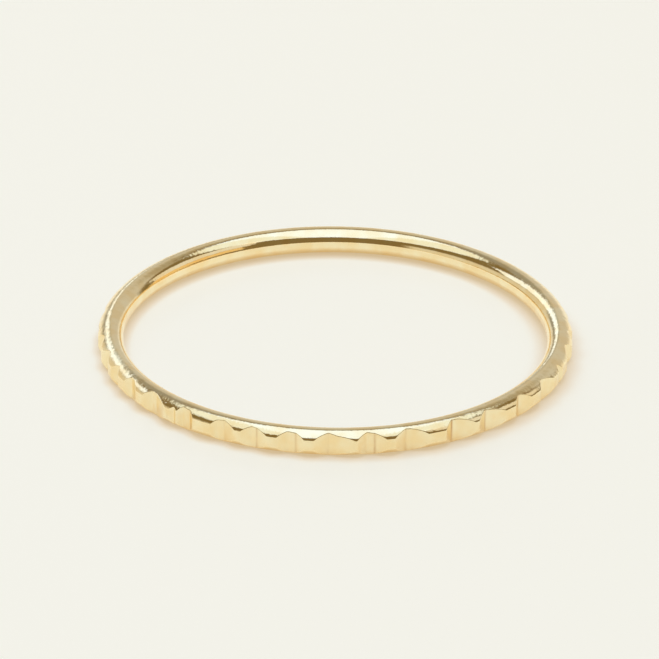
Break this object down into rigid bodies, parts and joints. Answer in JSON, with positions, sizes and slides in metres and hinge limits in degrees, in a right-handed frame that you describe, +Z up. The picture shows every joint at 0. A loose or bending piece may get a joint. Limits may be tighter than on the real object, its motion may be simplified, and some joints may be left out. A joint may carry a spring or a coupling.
{
  "type": "stackable ring",
  "caption": "Slim stacking ring for a finger: a closed loop of round wire with irregular notches cut across its outer face.",
  "frame": {"origin": "on the ground at the middle of the ring, which lies flat on its side", "axes": "+Z up, along the ring's own axis; -Y towards the viewer, +X to the right"},
  "size_m": [0.0194, 0.0194, 0.0011],
  "materials": {
    "gold_finish": "polished yellow-gold colour, lightly worn"
  },
  "bodies": {
    "root": {"ring_band": "gold_finish"}
  },
  "joints": []
}
